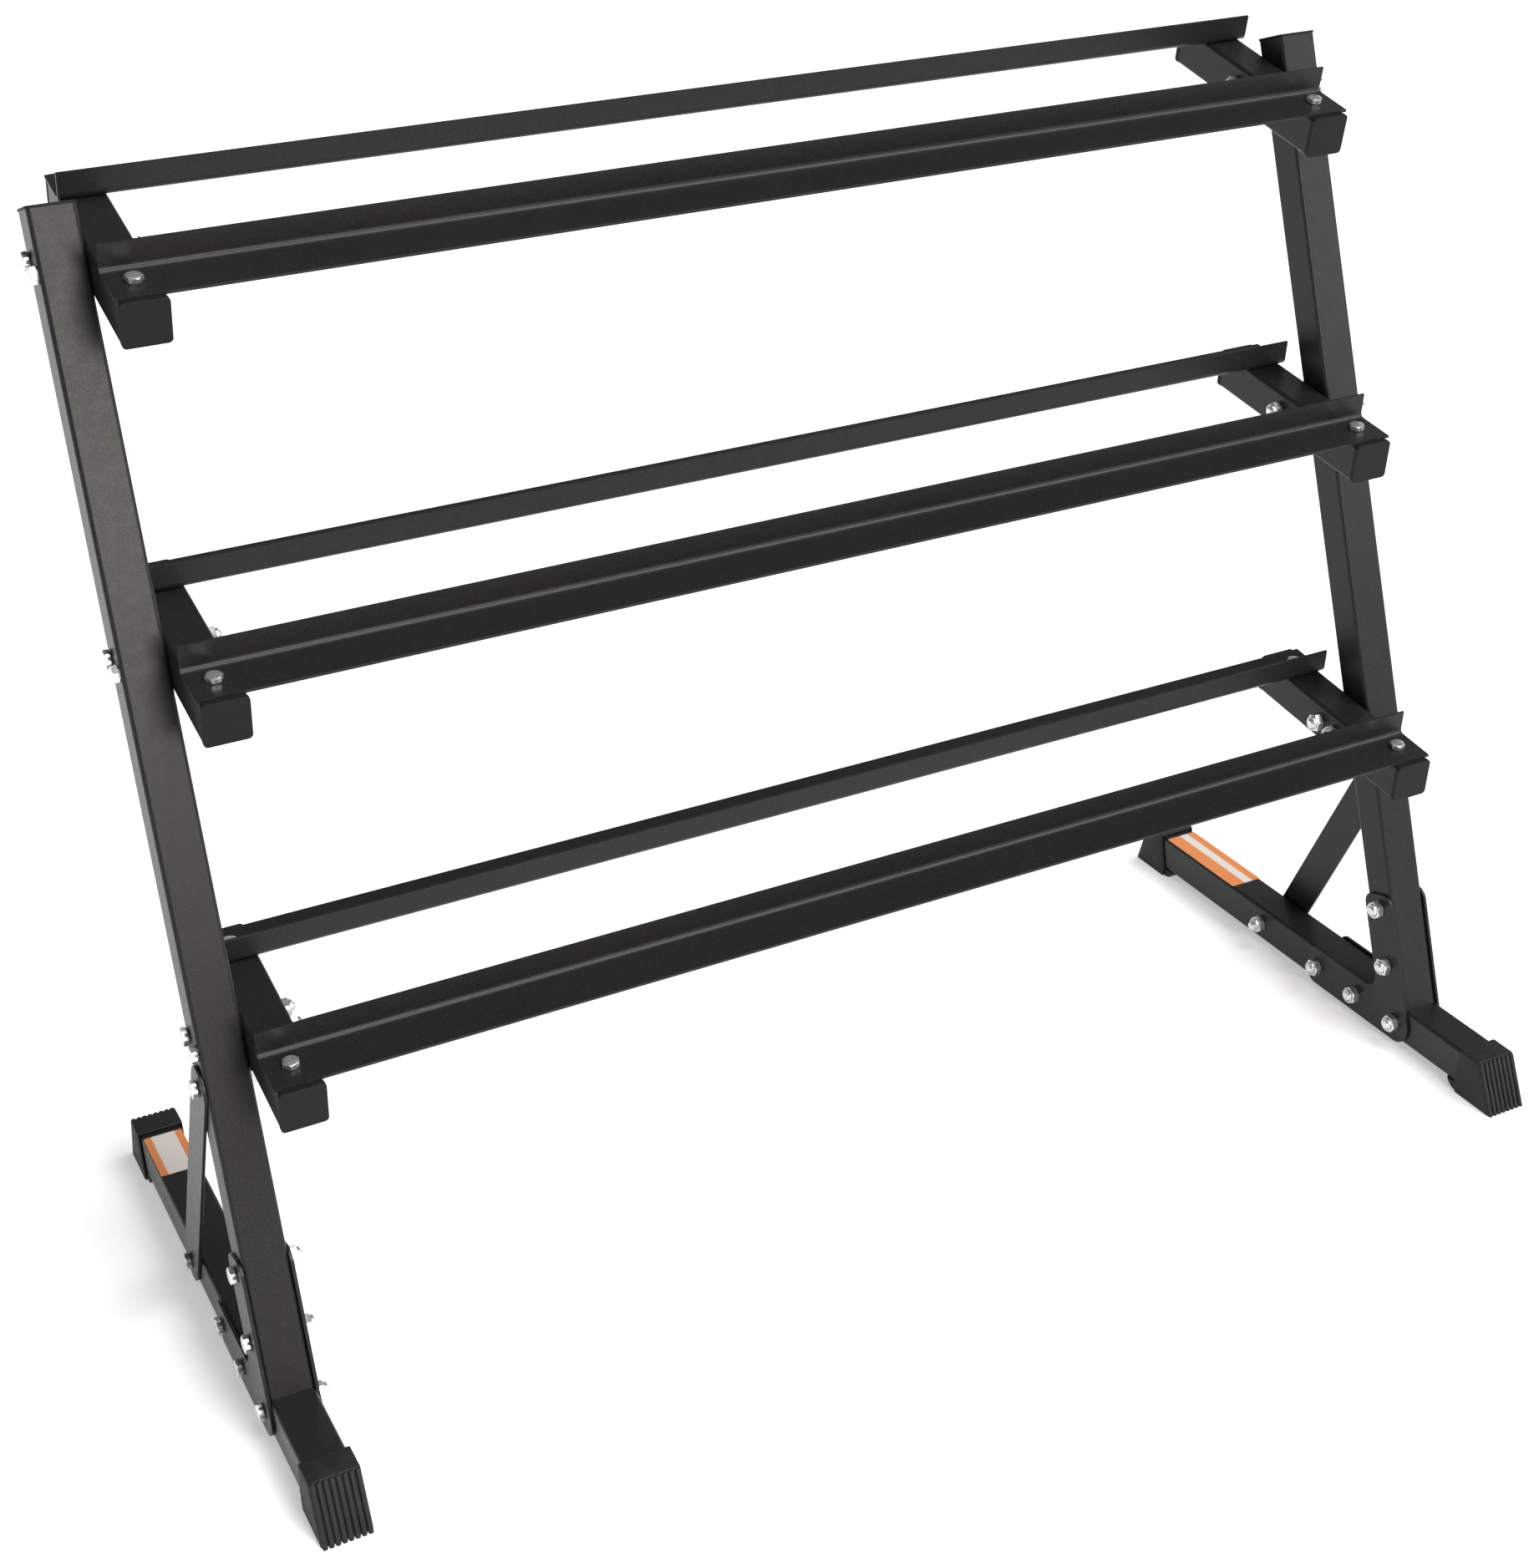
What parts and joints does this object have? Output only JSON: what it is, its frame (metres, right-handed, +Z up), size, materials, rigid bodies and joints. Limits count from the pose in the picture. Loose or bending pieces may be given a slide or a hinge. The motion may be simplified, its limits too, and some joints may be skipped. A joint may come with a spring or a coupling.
{
  "type": "dumbbell rack",
  "caption": "Free-standing tiered dumbbell rack: leaning square-tube side frames on foot rails, joined by pairs of angle rails that carry the dumbbell heads.",
  "frame": {"origin": "on the floor, at the middle of the rack's length and depth", "axes": "+X along the rails to the rack's right as seen from the front, +Y from front to back, +Z up"},
  "size_m": [1.226, 0.6144, 0.9932],
  "materials": {
    "powder_coat": "matt black powder coat with a fine texture",
    "cap_plastic": "satin moulded black plastic",
    "boot_rubber": "matt black ribbed rubber",
    "zinc": "bright zinc plate",
    "label_film": "satin film sticker, plain bands"
  },
  "bodies": {
    "root": {"base_rail_left": "powder_coat", "base_rail_right": "powder_coat", "upright_left": "powder_coat", "upright_right": "powder_coat", "upright_cap_left": "cap_plastic", "upright_cap_right": "cap_plastic", "gusset_left_outer": "powder_coat", "gusset_left_inner": "powder_coat", "gusset_right_outer": "powder_coat", "gusset_right_inner": "powder_coat", "brace_left": "powder_coat", "brace_right": "powder_coat", "foot_boot_left_front": "boot_rubber", "foot_boot_left_back": "boot_rubber", "foot_boot_right_front": "boot_rubber", "foot_boot_right_back": "boot_rubber", "arm_left_bottom": "powder_coat", "arm_left_middle": "powder_coat", "arm_left_top": "powder_coat", "arm_right_bottom": "powder_coat", "arm_right_middle": "powder_coat", "arm_right_top": "powder_coat", "arm_cap_left_bottom_front": "cap_plastic", "arm_cap_left_bottom_back": "cap_plastic", "arm_cap_left_middle_front": "cap_plastic", "arm_cap_left_middle_back": "cap_plastic", "arm_cap_left_top_front": "cap_plastic", "arm_cap_left_top_back": "cap_plastic", "arm_cap_right_bottom_front": "cap_plastic", "arm_cap_right_bottom_back": "cap_plastic", "arm_cap_right_middle_front": "cap_plastic", "arm_cap_right_middle_back": "cap_plastic", "arm_cap_right_top_front": "cap_plastic", "arm_cap_right_top_back": "cap_plastic", "rail_bottom_front": "powder_coat", "rail_bottom_back": "powder_coat", "rail_middle_front": "powder_coat", "rail_middle_back": "powder_coat", "rail_top_front": "powder_coat", "rail_top_back": "powder_coat", "arm_bolts_left": "zinc", "arm_bolts_right": "zinc", "arm_nuts_left": "zinc", "arm_nuts_right": "zinc", "gusset_bolts_left": "zinc", "gusset_bolts_right": "zinc", "gusset_nuts_left": "zinc", "gusset_nuts_right": "zinc", "brace_bolts_left": "zinc", "brace_bolts_right": "zinc", "brace_nuts_left": "zinc", "brace_nuts_right": "zinc", "rail_bolts_left": "zinc", "rail_bolts_right": "zinc", "rail_nuts_left": "zinc", "rail_nuts_right": "zinc", "label_left": "label_film", "label_right": "label_film"}
  },
  "joints": []
}
